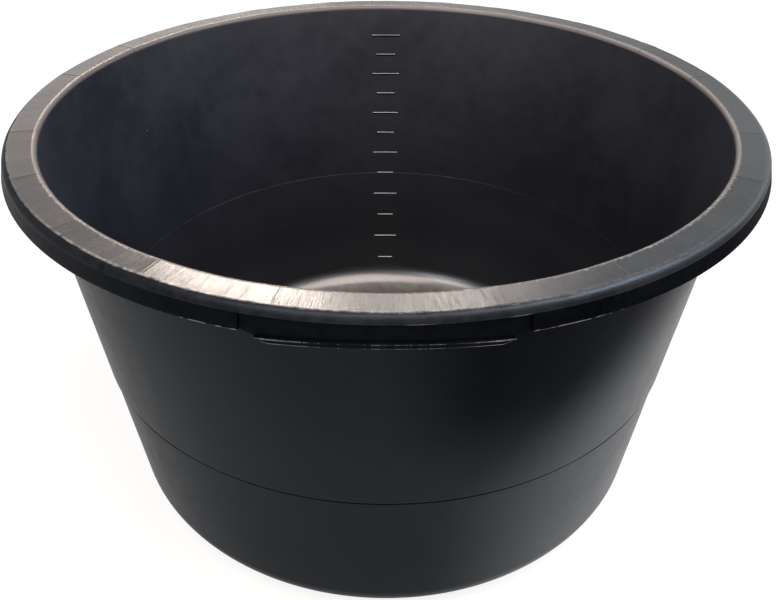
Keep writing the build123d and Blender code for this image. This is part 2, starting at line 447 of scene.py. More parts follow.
def insideMask(shop, radius, z):
    # 1 on the inside of the wall and on top of the floor, 0 on the outside and underneath
    start = tub["mouth"] - tub["height"] * slope - wallRun / 2 - wallFinish["middleShift"]
    bendAway = shop.length(radius - coveR, z - coveZ)
    overFloor = shop.maths("GREATER_THAN", z, tub["floorTop"] - tub["wall"] / 2)
    inCurve = shop.maths("LESS_THAN", bendAway, tub["cove"] + tub["wall"] / 2)
    inWall = shop.maths("LESS_THAN", radius, z * slope + start)
    aboveBend = shop.maths("GREATER_THAN", z, coveZ - tub["wall"])
    inBend = shop.maths("MAXIMUM", inCurve, shop.maths("LESS_THAN", radius, coveR))
    return overFloor * (aboveBend * inWall + (1 - aboveBend) * inBend)


def speckMask(shop, where):
    # 1 in a small spot at the point of a few cells, each spot of its own size
    s = wallFinish
    settings = {"feature": "F1", "distance": "EUCLIDEAN"}
    cells = {"Vector": where, "Scale": 1 / s["speckCell"], "Randomness": 1.0}
    away = shop.node("ShaderNodeTexVoronoi", settings, cells, out="Distance")
    pick = shop.split(shop.node("ShaderNodeTexVoronoi", settings, cells, out="Color"))
    chosen = shop.maths("LESS_THAN", pick[0], s["speckShare"])
    smallest, more = s["speckSize"]
    size = pick[1] * more + smallest
    return chosen * (1 - shop.band(away, size * s["speckEdge"], size))


def glossMask(shop, x, z, scuffs):
    # 0 where the outside is dull, 1 where it would be fully glossy
    s = wallFinish
    high = shop.maths("MAXIMUM", z - s["glossTop"], 0.0)
    ragged = (scuffs - 0.5) * s["glossRagged"]
    right = shop.band(x - high * s["glossLean"] + ragged, *s["glossAcross"])
    underRim = shop.band(z, *s["dullRise"]) * shop.band(x, *s["dullAcross"])
    rise = shop.band(z, *s["glossRise"]) * (1 - s["glossFoot"]) + s["glossFoot"]
    return (1 - right) * (1 - underRim) * (rise * s["glossLeft"]) + right * s["glossRight"]


def stepShadeMask(shop, x, z):
    # 1 just under the step, where shade is painted, 0 above it and further down
    s = wallFinish
    reach = shop.band(x * x, *s["stepShadeSides"]) * s["stepShadeSpread"] + s["stepShadeReach"]
    underStep = shop.maths("LESS_THAN", z, stepLine + s["stepShadeOver"])
    return shop.band(z, stepLine - reach, stepLine - reach * s["stepShadeEdge"]) * underStep


def wallPlastic(name, dusty=False, paintedMarkShade=False):
    # satin black, greyer inside with painted shade low inside; streaks of the moulding, scuffs,
    # specks, polish, gloss, and painted shade under the step and under the litre marks
    s = wallFinish
    shop = newShop(name)
    where = shop.place()
    x, y, z = shop.split(where)
    radius = shop.maths("MAXIMUM", shop.length(x, y), axisGap)
    inside = insideMask(shop, radius, z)
    aroundRun, upRun = s["streakRun"]
    along = shop.join(x / radius * aroundRun, y / radius * aroundRun, z * upRun)
    streaks = shop.noise(along, *s["streaks"])
    clouds = shop.noise(where, *s["clouds"])
    scuffs = shop.noise(where, *s["scuffs"])
    grain = shop.noise(where, *s["grain"])
    tone = shop.band(clouds * s["cloudShare"] + scuffs * (1 - s["cloudShare"]), *s["toneRange"])
    outsideColour = shop.mix(tone, s["outsideDark"], s["outsideLight"])
    insideColour = shop.mix(tone, s["insideDark"], s["insideLight"])
    # painted shade: the inside darkens towards the floor
    insideColour = shop.mix(shop.band(z, *s["insideShadeRise"]), s["insideShadeLow"], insideColour)
    colour = shop.mix(inside, outsideColour, insideColour)
    speck = speckMask(shop, where)
    colour = shop.mix(speck * s["speckStrength"], colour, s["dust"])
    if dusty:
        film = shop.band(shop.noise(where, *s["film"]), *s["filmRange"])
        film = film * (1 - s["filmLeast"]) + s["filmLeast"]
        lying = inside * (1 - shop.band(z, *s["filmRise"], tub["floorTop"]))
        colour = shop.mix(film * lying * s["dustAmount"], colour, s["dust"])
    rough = s["roughness"] + (scuffs - 0.5) * s["roughnessSpread"] + speck * s["speckRoughness"]
    up = shop.band(z, *s["polishRise"])
    polished = inside * (s["bendPolish"] + up * (s["wallPolish"] - s["bendPolish"]))
    if paintedMarkShade:                  # painted shade in the corner under a litre mark, whose ridge is rubbed
        paintedShade = shop.worn()
        colour = shop.mix(paintedShade, colour, s["paintedShade"])
        rough = rough + paintedShade * s["paintedShadeRoughness"]
        polished = inside * (1 - paintedShade) * s["markPolish"]
    normal = shop.bump(grain, *s["grainBump"])
    normal = shop.bump(streaks, *s["streakBump"], normal)
    innerSide = shop.plastic(colour, rough, s["specular"], {
        "Normal": normal, "Coat Weight": polished,
        "Coat Roughness": s["polishRoughness"], "Coat IOR": s["polishIor"]})
    outer = {"Normal": normal, "Specular Tint": s["outsideTint"]}
    smoother = rough - s["glossSmoother"]
    dull = shop.plastic(colour, smoother, s["dullSpecular"], outer)
    glossy = shop.plastic(colour, smoother, s["glossySpecular"], outer)
    outerSide = shop.blend(glossMask(shop, x, z, scuffs), dull, glossy)
    # a dark matte sheet of painted shade, laid under the step
    stepShade = shop.plastic(s["paintedShade"], s["stepShadeRoughness"], 0.0, {})
    share = stepShadeMask(shop, x, z) * (1 - inside) * s["stepShadeStrength"]
    return shop.finish(shop.blend(share, shop.blend(inside, outerSide, innerSide), stepShade))


landFinish = {
    # painted light: warm on the left where the warm light falls, cool on the right where the cool
    # light falls
    "warmLitLeft": rgb(0.046, 0.036, 0.031),
    "coolLitRight": rgb(0.026, 0.033, 0.040),
    "bare": rgb(0.016, 0.016, 0.017),
    "fleck": rgb(0.30, 0.27, 0.25),
    "coolLitFleck": rgb(0.17, 0.18, 0.19),
    # the mouth's round is rubbed light and painted with sheen; behind on the right it has a painted
    # highlight
    "mouthWearAndSheen": rgb(0.108, 0.089, 0.082),
    "mouthHighlightRight": rgb(0.20, 0.176, 0.170),
    "roughness": 0.23,
    "specular": 0.38,
    "coolSpecular": 0.22,       # the right side is duller
    "rightSide": (-0.12, 0.16),                 # the right side, painted cool and lighter, takes over between these x
    # noises: scale, detail, roughness
    "clouds": (26.0, 4.0, 0.6),
    "grain": (1300.0, 2.0, 0.5),
    "nibble": (380.0, 4.0, 0.65),
    # noises that follow the rim: how fast they change across it, scale, detail, roughness
    "scratches": (0.18, 520.0, 2.0, 0.5),
    "patches": (0.6, 95.0, 4.0, 0.6),
    "comb": (0.05, 330.0, 3.0, 0.6),            # coarser scratches, combed in from the outer edge
    "breaks": (0.0, 70.0, 5.0, 0.7),
    "grainBump": (0.00003, 0.5),                # depth and strength
    "scratchBump": (0.00004, 0.7),
    "combBump": (0.00002, 0.8),
    # rubbed patches
    "cloudShare": 0.55,
    "rubbedRange": (0.36, 0.62),
    # the right side is painted lighter, a sheen of the cool light there
    "paintedSheenRight": 0.5,
    # light scratches
    "lineRange": (0.60, 0.72),
    "lineStrength": 0.35,
    "lineRightLoss": 0.6,
    # the dark comb
    "combRange": (0.54, 0.72),
    "combReach": (0.288, 0.3005),               # radii
    "combStrength": 0.45,
    "combRightLoss": 0.65,
    # the round of the mouth, rubbed light and painted with sheen, with a painted highlight behind
    # on the right; offsets from where the round starts
    "mouthEdge": (-0.0004, 0.0018),
    "mouthHighlightX": (-0.05, 0.10),
    "mouthHighlightY": (0.0, 0.12),
    "mouthStrength": 0.75,
    "mouthShine": 0.8,
    # dull panels between the ribs, and a line of painted shade in the sink line at each rib
    "dulledStrength": 0.62,
    "dulledGloss": 0.8,
    "grooveShadeRange": (1.05, 1.7),
    "grooveShadeStrength": 0.8,
    # flecks along the mouth in front; offsets from where the round starts, and y
    "fleckRange": (0.55, 0.60),
    "fleckInner": (-0.0035, -0.0015),
    "fleckOuter": (0.0005, 0.0025),
    "fleckBack": (-0.17, -0.10),
    "fleckStrength": 0.85,
    # the broken light line on the outer edge, partly wear and partly painted highlight, strongest
    # in front on the left
    "edgeReach": (-0.0011, -0.0001),            # offsets from the outer edge
    "breakRange": (0.35, 0.6),
    "edgeTurn": 0.6,
    "edgeFade": (0.05, 0.30),
    "edgeLeast": 0.2,
    "edgeMore": 0.4,
    "edgeBack": (-0.27, -0.16),
    "edgeBackLoss": 0.85,
    # what makes the top rougher
    "farRightX": (0.0, 0.2),
    "farRightY": (-0.12, 0.12),
    "roughClouds": 0.2,
    "roughScratches": 0.3,
    "roughFarRight": 0.2,
    "roughMouth": 0.16,
    "roughComb": 0.12,
    "roughFlecks": 0.3,
}


def landPlastic(name):
    # black rubbed grey, painted warm on the left and cool and lighter on the right: patches,
    # scratches and a comb across the rim, panels of their own tone with a line of painted shade at
    # each rib, a round at the mouth rubbed light with a painted highlight behind on the right,
    # flecks beside it and a broken light line on the outer edge, partly wear and partly painted
    # highlight
    s = landFinish
    shop = newShop(name)
    where = shop.place()
    x, y, z = shop.split(where)
    radius = shop.length(x, y) + axisGap
    cosine, sine = x / radius, y / radius

    def roundRim(run, *settings):
        # a noise read at (cos t, sin t, radius * run)
        return shop.noise(shop.join(cosine, sine, radius * run), *settings)

    fine, coarse = roundRim(*s["scratches"]), roundRim(*s["patches"])
    clouds, grain = shop.noise(where, *s["clouds"]), shop.noise(where, *s["grain"])
    # painted light: warm on the left, cool and lighter on the right
    side = shop.band(x, *s["rightSide"])
    worn = shop.mix(side, s["warmLitLeft"], s["coolLitRight"])
    rubbedAndSheen = clouds * s["cloudShare"] + coarse * (1 - s["cloudShare"])
    rubbedAndSheen = shop.band(rubbedAndSheen, *s["rubbedRange"])
    rubbedAndSheen = rubbedAndSheen + (1 - rubbedAndSheen) * side * s["paintedSheenRight"]
    colour = shop.mix(rubbedAndSheen, s["bare"], worn)
    line = shop.band(fine, *s["lineRange"]) * (1 - side * s["lineRightLoss"])
    colour = shop.mix(line * s["lineStrength"], colour, worn)
    combed = shop.band(roundRim(*s["comb"]), *s["combRange"]) * shop.band(radius, *s["combReach"])
    combed = combed * (1 - side * s["combRightLoss"])
    colour = shop.mix(combed * s["combStrength"], colour, s["bare"])

    # the mouth's round, and what the "wear" attribute says: how dull a panel is, over 1 at a rib,
    # where a line of painted shade goes
    rounding = 1 - shop.band(radius, *s["mouthEdge"], filletR)
    tone = shop.worn()
    dulled = shop.maths("MINIMUM", tone, 1.0) * (1 - rounding)
    colour = shop.mix(dulled * s["dulledStrength"], colour, s["bare"])
    # painted highlight on the mouth's round behind on the right
    highlightBackRight = shop.band(x, *s["mouthHighlightX"]) * shop.band(y, *s["mouthHighlightY"])
    mouth = shop.mix(highlightBackRight, s["mouthWearAndSheen"], s["mouthHighlightRight"])
    colour = shop.mix(rounding * s["mouthStrength"], colour, mouth)
    # a line of painted shade in the sink line at each rib
    grooveShade = shop.band(tone, *s["grooveShadeRange"])
    colour = shop.mix(grooveShade * s["grooveShadeStrength"], colour, s["bare"])
    nearMouth = shop.band(radius, *s["fleckInner"], filletR) * (
        1 - shop.band(radius, *s["fleckOuter"], filletR))
    flecks = shop.band(shop.noise(where, *s["nibble"]), *s["fleckRange"]) * nearMouth
    flecks = flecks * (1 - shop.band(y, *s["fleckBack"]))
    colour = shop.mix(flecks * s["fleckStrength"], colour, s["fleck"])

    # a broken light line on the outer edge, partly wear and partly painted highlight
    edge = shop.band(radius, *s["edgeReach"], tub["landOuter"])
    broken = shop.band(roundRim(*s["breaks"]), *s["breakRange"])
    frontLeft = 1 - shop.band(x - y * s["edgeTurn"], *s["edgeFade"])
    atFront = 1 - shop.band(y, *s["edgeBack"]) * s["edgeBackLoss"]
    bright = edge * broken * (frontLeft * s["edgeMore"] + s["edgeLeast"]) * atFront
    colour = shop.mix(bright, colour, shop.mix(side, s["fleck"], s["coolLitFleck"]))

    farRight = shop.band(x, *s["farRightX"]) * shop.band(y, *s["farRightY"])
    rough = (s["roughness"] + (clouds - 0.5) * s["roughClouds"] + (fine - 0.5) * s["roughScratches"]
             + farRight * s["roughFarRight"] + rounding * s["roughMouth"]
             + combed * s["roughComb"] + flecks * s["roughFlecks"])
    normal = shop.bump(grain, *s["grainBump"])
    normal = shop.bump(fine, *s["scratchBump"], normal)
    normal = shop.bump(combed, *s["combBump"], normal)
    shiny, dull = [shop.plastic(colour, rough, level, {"Normal": normal})
                   for level in (s["specular"], s["coolSpecular"])]
    dullness = shop.maths("MAXIMUM", side, dulled * s["dulledGloss"])
    return shop.finish(shop.blend(dullness * (1 - rounding * s["mouthShine"]), shiny, dull))


# what the shoulder and the skirt have in common
rimFinish = {
    "tint": rgb(0.80, 0.90, 1.0),
    "clouds": (22.0, 4.0, 0.6),                 # noises: scale, detail, roughness
    "patches": (140.0, 4.0, 0.65),
    "cloudShare": 0.5,
    "toneRange": (0.35, 0.65),
    "streakRise": 1.5,          # how fast the fine lines change with height
    "rubbedRange": (0.25, 0.75),
    "rubbedRoughness": 0.1,
    "roughnessSpread": 0.22,
    # the gloss grows from left to right, in two steps between these x
    "ragged": 0.05,
    "leftStep": (-0.19, -0.09),
    "leftGloss": 0.14,
    "leftTopGloss": 0.21,       # added where the fade has ended
    "rightStep": (0.02, 0.13),
    "rightTopGloss": 0.65,
}
shoulderFinish = {
    **rimFinish,
    "dark": rgb(0.0050, 0.0058, 0.0078),
    "light": rgb(0.0125, 0.0142, 0.0175),
    "rubbedAndSheen": rgb(0.16, 0.155, 0.15),
    "roughness": 0.36,
    "specular": 0.016,
    "polishedSpecular": 0.42,
    "fade": (tub["shoulderLow"] + 0.0016, tub["shoulderLow"] + 0.0054),
    "grain": (900.0, 3.0, 0.55),
    "grainBump": (0.00022, 0.6),                # depth and strength
    "streaks": (300.0, 2.0, 0.5),
    "streakBump": (0.00009, 0.6),
}
skirtFinish = {
    **rimFinish,
    "dark": rgb(0.0010, 0.0012, 0.0018),
    "light": rgb(0.0028, 0.0034, 0.0048),
    "rubbedAndSheen": rgb(0.13, 0.13, 0.135),
    "roughness": 0.48,
    "specular": 0.040,
    "polishedSpecular": 0.005,                  # the skirt gets duller to the right instead
    "fade": (0.0, 0.1),         # ends far below the skirt
    "grain": (1150.0, 3.0, 0.55),
    "grainBump": (0.00012, 0.6),
    "streaks": (120.0, 2.0, 0.5),
    "streakBump": (0.00003, 0.6),
}


def rimPlastic(name, s):
    # dull grained black, rubbed light where "wear" says so, partly wear and partly painted
    # highlight, with fine lines that run down the rounding
    shop = newShop(name)
    where = shop.place()
    x, y, z = shop.split(where)
    radius = shop.length(x, y) + axisGap
    clouds, patches = shop.noise(where, *s["clouds"]), shop.noise(where, *s["patches"])
    grain = shop.noise(where, *s["grain"])
    lines = shop.join(x / radius, y / radius, z * s["streakRise"])
    streaks = shop.noise(lines, *s["streaks"])
    tone = shop.band(clouds * s["cloudShare"] + patches * (1 - s["cloudShare"]), *s["toneRange"])
    colour = shop.mix(tone, s["dark"], s["light"])
    # rubbed light where "wear" says so: partly wear, partly painted highlight
    rubbedAndSheen = shop.band(shop.worn() * (patches + 0.5), *s["rubbedRange"])
    colour = shop.mix(rubbedAndSheen, colour, s["rubbedAndSheen"])
    rough = s["roughness"] + (patches - 0.5) * s["roughnessSpread"] + rubbedAndSheen * s["rubbedRoughness"]
    normal = shop.bump(grain, *s["grainBump"])
    normal = shop.bump(streaks, *s["streakBump"], normal)
    dull, polished = [
        shop.plastic(colour, rough, level, {"Specular Tint": s["tint"], "Normal": normal})
        for level in (s["specular"], s["polishedSpecular"])]
    across = x + (patches - 0.5) * s["ragged"]
    top = shop.band(z, *s["fade"])
    gloss = (shop.band(across, *s["leftStep"]) * (top * s["leftTopGloss"] + s["leftGloss"])
             + shop.band(across, *s["rightStep"]) * top * s["rightTopGloss"])
    return shop.finish(shop.blend(gloss, dull, polished))


wallMaterial = wallPlastic("satinBlackPlastic")
markMaterial = wallPlastic("markedBlackPlastic", paintedMarkShade=True)
floorMaterial = wallPlastic("dustyFloorPlastic", dusty=True)
landMaterial = landPlastic("wornRimPlastic")
shoulderMaterial = rimPlastic("grainedShoulderPlastic", shoulderFinish)
rimMaterial = rimPlastic("dullRimPlastic", skirtFinish)
print("stage: materials")


base = {
    "turns": 360,
    "coveSteps": 30,
    "heelSteps": 24,
    "footSteps": 3,             # rings across the flat between the standing ring and the heel
    "fanRadius": 0.008,         # a fan of this size closes the middle of the floor
    "ringsUnder": 12,
    "ringsOver": 32,
    "floorSag": 0.0004,         # the floor panel lies this much lower between middle and edge
    "sagLeast": 0.6,            # share of it that is there all round
    "sagPhase": 1.0,
    "skin": 0.001,              # points this near to the floor's top belong to it
    "roundSteps": 5,
    "footRound": 0.0006,
    "footLean": 0.08,           # share of half a turn by which its rounds stop short of level
    "gateTurns": 64,
    "gateRound": 0.0004,
    "gateDish": (0.35, 0.0002),                 # share of the mark's radius, depth
}


def floorShape(r, z, t):
    # the top dips by floorSag * sin(pi * share)^2, with share = radius / edge radius, and by less
    # where cos(2 t + phase) is low
    share = r / tub["floorRadius"]
    dip = base["floorSag"] * np.sin(math.pi * np.clip(share, 0, 1)) ** 2
    swirl = 0.5 + 0.5 * np.cos(2 * t + base["sagPhase"])
    dip = dip * (base["sagLeast"] + (1 - base["sagLeast"]) * swirl)
    return r, np.where(z > tub["floorTop"] - base["skin"], z - dip, z)


floorEdge, fanRadius = tub["floorRadius"], base["fanRadius"]
floorOutline = np.concatenate([
    [[0.0, tub["floorLow"]]],
    runPoints((fanRadius, tub["floorLow"]), (floorEdge, tub["floorLow"]), base["ringsUnder"]),
    [[floorEdge, tub["floorLow"]]],
    runPoints((floorEdge, tub["floorTop"]), (fanRadius, tub["floorTop"]), base["ringsOver"]),
    [[fanRadius, tub["floorTop"]], [0.0, tub["floorTop"]]],
])
floorPanel = discPiece("floorPanel", floorOutline, circle(base["turns"]), floorShape)
dress(floorPanel, floorMaterial, "floor_panel")

cornerTop = tub["cornerTop"]
downward, wallward = -math.pi / 2, -tub["draft"]    # turns of an arc from level, outwards
cornerOutline = np.concatenate([
    runPoints((floorEdge, tub["footHeight"]), (heelR, tub["footHeight"]), base["footSteps"]),
    arcPoints(heelR, heelZ, tub["heel"], downward, wallward, base["heelSteps"], even=False),
    [[lowerOuter(cornerTop), cornerTop], [lowerInner(cornerTop), cornerTop]],
    arcPoints(coveR, coveZ, tub["cove"], wallward, downward, base["coveSteps"], even=False),
    [[(coveR + floorEdge) / 2, tub["floorTop"]], [floorEdge, tub["floorTop"]]],
])
heelAndCove = ringPiece("heelAndCove", cornerOutline, circle(base["turns"]))
dress(heelAndCove, floorMaterial, "bottom_corner")

footRound = base["footRound"]
footInset = tub["footTaper"] + footRound
leftTurn, lowTurn, rightTurn = [     # level on the left, straight down, level on the right
    math.pi * share for share in (1 + base["footLean"], 1.5, 2 - base["footLean"])]
footOutline = np.concatenate([
    [[floorEdge, tub["footHeight"]]],
    arcPoints(floorEdge + footInset, footRound, footRound, leftTurn, lowTurn, base["roundSteps"]),
    arcPoints(tub["footOuter"] - footInset, footRound, footRound, lowTurn, rightTurn,
              base["roundSteps"]),
    [[tub["footOuter"], tub["footHeight"]]],
])
standingRing = ringPiece("standingRing", footOutline, circle(base["turns"]))
dress(standingRing, wallMaterial, "foot_ring")

gateLow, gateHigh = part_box("gate_mark")
gateRound = base["gateRound"]
dishShare, dishDepth = base["gateDish"]
gateOutline = np.concatenate([
    [[0.0, gateLow.z], [gateHigh.x * dishShare, gateLow.z + dishDepth]],
    arcPoints(gateHigh.x - gateRound, gateLow.z + gateRound, gateRound, downward, 0,
              base["roundSteps"]),
    [[gateHigh.x, gateHigh.z], [0.0, gateHigh.z]],
])
gateMark = discPiece("gateMark", gateOutline, circle(base["gateTurns"]))
dress(gateMark, wallMaterial, "gate_mark")
print("stage: floor and corner")


wall = {
    "turns": 480,
    "rings": 30,
    "beltRings": (4, 3),        # outside and inside
    "edgeSteps": 5,
    "edgeRound": 0.00025,       # the step's crisp corners are this round
    "gutter": (0.0014, 0.0019, 0.0029),         # under the step: depth, height, down to its lip
    "ledgeEase": 0.00112,       # most of the ledge inside is drawn out into a long slope
    "ledgeReach": 0.034,
    # slow waves in the wall
    "waves": (2, 3, 5, 8, 11),  # how many go round
    "waveInside": (5, 0.00022), # seed and height
    "waveOutside": (11, 0.00025),
    "waveClimb": (0.5, 2.0),    # how many a wave has up the tub's height
    "waveFall": 0.7,            # the finer a wave, the lower: divided by its count to this power
    "waveFull": 0.11,           # they fade in from the bend up to here, and out higher up
    "waveFade": (0.29, 0.335),
}


def wallWave(t, z, seed, amount):
    # amount * sum of sin(waves * t + phase) * cos(climb * z + lift) / waves^waveFall, faded out at
    # the bend below and the rim above
    rng = np.random.default_rng(seed)
    total = 0
    for waves in wall["waves"]:
        phase, lift = rng.uniform(0, 2 * math.pi, 2)
        climb = rng.uniform(*wall["waveClimb"]) * 2 * math.pi / tub["height"]
        wave = np.sin(waves * t + phase) * np.cos(climb * z + lift)
        total = total + wave / waves ** wall["waveFall"]
    fadeIn = smoothStep(tub["cornerTop"], wall["waveFull"], z)
    return amount * total * fadeIn * (1 - smoothStep(*wall["waveFade"], z))


def wallShape(r, z, t):
    # the inside and the outside follow waves of their own
    middle = upperOuter(z) - (wallRun + tub["stepInset"]) / 2
    inside = wallWave(t, z, *wall["waveInside"])
    outside = wallWave(t, z, *wall["waveOutside"])
    return r + np.where(r < middle, inside, outside), z


def easedInner(z):
    # the lower wall's inside, moved out by a smooth step that ends at the ledge
    rise = smoothStep(tub["ledge"] - wall["ledgeReach"], tub["ledge"], z)
    return lowerInner(z) + wall["ledgeEase"] * rise


def wallRing(name, outside, inside, node):
    # a wall between two runs of points that both go up
    outline = np.concatenate([outside, inside[::-1]])
    piece = ringPiece(name, outline, circle(wall["turns"]), wallShape)
    dress(piece, wallMaterial, node)


gutterDepth, gutterHeight, gutterLip = wall["gutter"]
gutterR = lowerOuter(stepLine) - gutterDepth
lipZ = stepLine - gutterLip
wallRing(
    "lowerWall",
    np.concatenate([sidePoints(lowerOuter, cornerTop, lipZ, wall["rings"]),
                    [[gutterR, stepLine - gutterHeight], [gutterR, stepLine]]]),
    sidePoints(easedInner, cornerTop, stepLine, wall["rings"]), "lower_wall")
wallRing(
    "upperWall",
    sidePoints(upperOuter, tub["ledge"], tub["landUnder"], wall["rings"]),
    sidePoints(upperInner, tub["ledge"], tub["landUnder"], wall["rings"]), "upper_wall")

crisp, crispSteps = wall["edgeRound"], wall["edgeSteps"]
ringsOutside, ringsInside = wall["beltRings"]
beltOutside = np.concatenate([
    arcPoints(upperOuter(stepLine) - crisp, stepLine + crisp, crisp, downward, 0, crispSteps),
    sidePoints(upperOuter, stepLine + 2 * crisp, tub["ledge"], ringsOutside),
])
beltInside = np.concatenate([
    [[easedInner(stepLine), stepLine]],
    sidePoints(easedInner, stepLine + crisp, tub["ledge"] - 2 * crisp, ringsInside),
    arcPoints(easedInner(tub["ledge"]) + crisp, tub["ledge"] - crisp, crisp, math.pi, math.pi / 2,
              crispSteps),
    [[upperInner(tub["ledge"]), tub["ledge"]]],
])
wallRing("stepBelt", np.concatenate([[[gutterR, stepLine]], beltOutside]), beltInside, "wall_step")
print("stage: wall")


rim = {
    "turns": 1200,
    "nearRib": [0.15, 0.3, 0.45, 0.6, 0.8, 1.05, 1.4, 1.9],     # extra turns, in mm
    "turnApart": 2e-5,          # nearer turns are dropped
    "rings": {"under": 6, "edge": 3, "crest": 7, "fine": 5, "top": 12, "mouth": 12},
    "fineBand": (0.0002, 0.0020),               # closer rings this far inside the crest
    "crest": 0.0012,            # round of the flat top's outer edge
    "crestTurn": math.radians(30),
    "crestInset": 0.0001,
    "edgeDrop": 0.0009,         # a ring this far under the top keeps the edge upright
    "skin": 0.0005,             # how near a face a point belongs to it
    # chips in the outer edge
    "seed": 21,
    "chips": 90,
    "chipDepth": (0.00012, 0.0007),
    "chipShare": (0.2, 1),      # a chip has some share of its depth
    "chipWidth": (0.0008, 0.0035),
    "chipReach": 0.0009,
    "chipDrop": 0.35,           # how far down a chip goes for how far in
    "edgeWave": 0.00015,
    "edgeWaves": (37, 23),
    # sink lines over the ribs, and the flat top between them
    "grooveDepth": 0.00024,
    "grooveWidth": 0.0006,
    "grooveStrength": (0.3, 1.3),
    "grooveCrest": (1.5, 2.2),  # how far beside a line its crest lies, in widths
    "crestShare": 0.7,
    "frontShare": 0.03,         # share of a line's strength that is left in front and behind
    "sidePower": 1.5,
    "panelSag": 0.00035,        # the flat top hangs this much lower between two ribs
    "panelTilt": 0.005,         # largest slope of one such panel along the rim
    "notch": 2.2,               # the sink lines are this much deeper on the rounding of the mouth
    "notchReach": 0.003,
    "toneSeed": 15282,
    "grooveShadeWidth": 0.0004,
}
ribTurns = np.radians([q * 90 + a for q in range(4) for a in tub["ribAngles"]])
nearRib = np.array(rim["nearRib"]) / millimetres / tub["landOuter"]
rimTurns = np.unique(np.concatenate([
    circle(rim["turns"]),
    (ribTurns[:, None] + np.concatenate([-nearRib, [0], nearRib])[None, :]).ravel(),
]))
rimTurns = rimTurns[np.concatenate([[True], np.diff(rimTurns) > rim["turnApart"]])]


def edgeWear(t):
    # how far the crisp outer edge is worn in: edgeWave * (1 + sin(fast t) sin(slow t + 1)), and a
    # bell at each of the chips' random places
    rng = np.random.default_rng(rim["seed"])
    chips, (fast, slow) = rim["chips"], rim["edgeWaves"]
    centres = rng.uniform(0, 2 * math.pi, chips)
    depths = rng.uniform(*rim["chipDepth"], chips) * rng.uniform(*rim["chipShare"], chips)
    widths = rng.uniform(*rim["chipWidth"], chips) / tub["landOuter"]
    worn = rim["edgeWave"] * (1 + np.sin(fast * t) * np.sin(slow * t + 1))
    for centre, depth, width in zip(centres, depths, widths):
        worn = worn + depth * bell(turnGap(t, centre), width)
    return worn


def atSides(t):
    # frontShare + (1 - frontShare) * |cos t|^sidePower
    return rim["frontShare"] + (1 - rim["frontShare"]) * np.abs(np.cos(t)) ** rim["sidePower"]


def ribGroove(t, r):
    # a shallow sink line with a low crest beside it, at every rib, each of its own strength:
    # bell(away) - crestShare * bell(away - crest)
    rng = np.random.default_rng(rim["seed"] + 1)
    total = 0
    for centre in ribTurns:
        strength = rng.uniform(*rim["grooveStrength"])
        crest = rng.choice([-1, 1]) * rng.uniform(*rim["grooveCrest"])
        away = turnGap(t, centre) * r / rim["grooveWidth"]
        line = bell(away, 1) - rim["crestShare"] * bell(away - crest, 1)
        total = total + strength * atSides(centre) * line
    return total * rim["grooveDepth"]


def panelSag(t):
    # between two ribs the top sags as 4 share (1 - share) and tilts as sin(2 pi share); it has a
    # cusp at each rib
    rng = np.random.default_rng(rim["seed"] + 2)
    sag, following = np.zeros_like(t), np.roll(ribTurns, -1)
    for start, end in zip(ribTurns, following):
        span = (end - start) % (2 * math.pi)
        share = ((t - start) % (2 * math.pi)) / span
        tilt = rng.uniform(-1, 1) * rim["panelTilt"] * span * tub["landOuter"] / 4
        shape = 4 * share * (1 - share)
        lean = np.sin(2 * math.pi * share) / math.pi
        hanging = rim["panelSag"] * shape + np.abs(tilt) + tilt * lean * 2
        sag = np.where(share < 1, hanging, sag)
    return sag


crestR = tub["landOuter"] - rim["crestInset"]
crestEnd = (crestR + rim["crest"] * math.sin(rim["crestTurn"]),
            tub["height"] - rim["crest"] * (1 - math.cos(rim["crestTurn"])))


def landShape(r, z, t):
    # chips move the crisp edge in and a little down, the sag and the sink lines lower the flat
    # top, and a sink line that runs over the mouth's rounding moves it out as a notch
    wear, groove = edgeWear(t), ribGroove(t, r)
    top = smoothStep(tub["landUnder"] + rim["skin"], tub["height"] - rim["skin"], z)
    edgeNear = bell(crestEnd[0] - r, rim["chipReach"]) * (z > tub["landUnder"] + 2 * rim["skin"])
    lower = (groove + panelSag(t)) * top + rim["chipDrop"] * wear * edgeNear
    onRounding = smoothStep(filletR, filletR - rim["notchReach"], r) * (z > filletZ - rim["skin"])
    notch = np.maximum(groove, 0) * rim["notch"] * onRounding
    return r - wear * edgeNear + notch, z - np.maximum(lower, 0)


def panelTone(r, z, t):
    # how dull the flat top is between two ribs, one value for each such panel; over 1 at a rib,
    # where a line of painted shade goes
    rng = np.random.default_rng(rim["toneSeed"])
    tones = rng.uniform(0, 1, len(ribTurns))
    tone = tones[np.searchsorted(ribTurns, t % (2 * math.pi)) - 1]
    away = np.abs(turnGap(t[..., None], ribTurns)).min(-1) * r
    return tone + bell(away, rim["grooveShadeWidth"]) * (1 + atSides(t) - tone)


height, landOuter, landUnder = tub["height"], tub["landOuter"], tub["landUnder"]
edgeZ = height - rim["edgeDrop"]
upright = math.pi / 2
fineStart, fineEnd = [crestR - inset for inset in rim["fineBand"]]
rings = rim["rings"]
landOutline = np.concatenate([
    runPoints((upperInner(landUnder), landUnder), (landOuter, landUnder), rings["under"]),
    runPoints((landOuter, landUnder), (landOuter, edgeZ), rings["edge"]),
    [[landOuter, edgeZ]],
    arcPoints(crestR, height - rim["crest"], rim["crest"], upright - rim["crestTurn"], upright,
              rings["crest"]),
    runPoints((fineStart, height), (fineEnd, height), rings["fine"]),
    runPoints((fineEnd, height), (filletR, height), rings["top"]),
    arcPoints(filletR, filletZ, tub["fillet"], upright, math.pi - tub["draft"], rings["mouth"]),
])
rimLand = ringPiece("rimLand", landOutline, rimTurns, landShape, wearing=panelTone)
dress(rimLand, landMaterial, "rim_land")


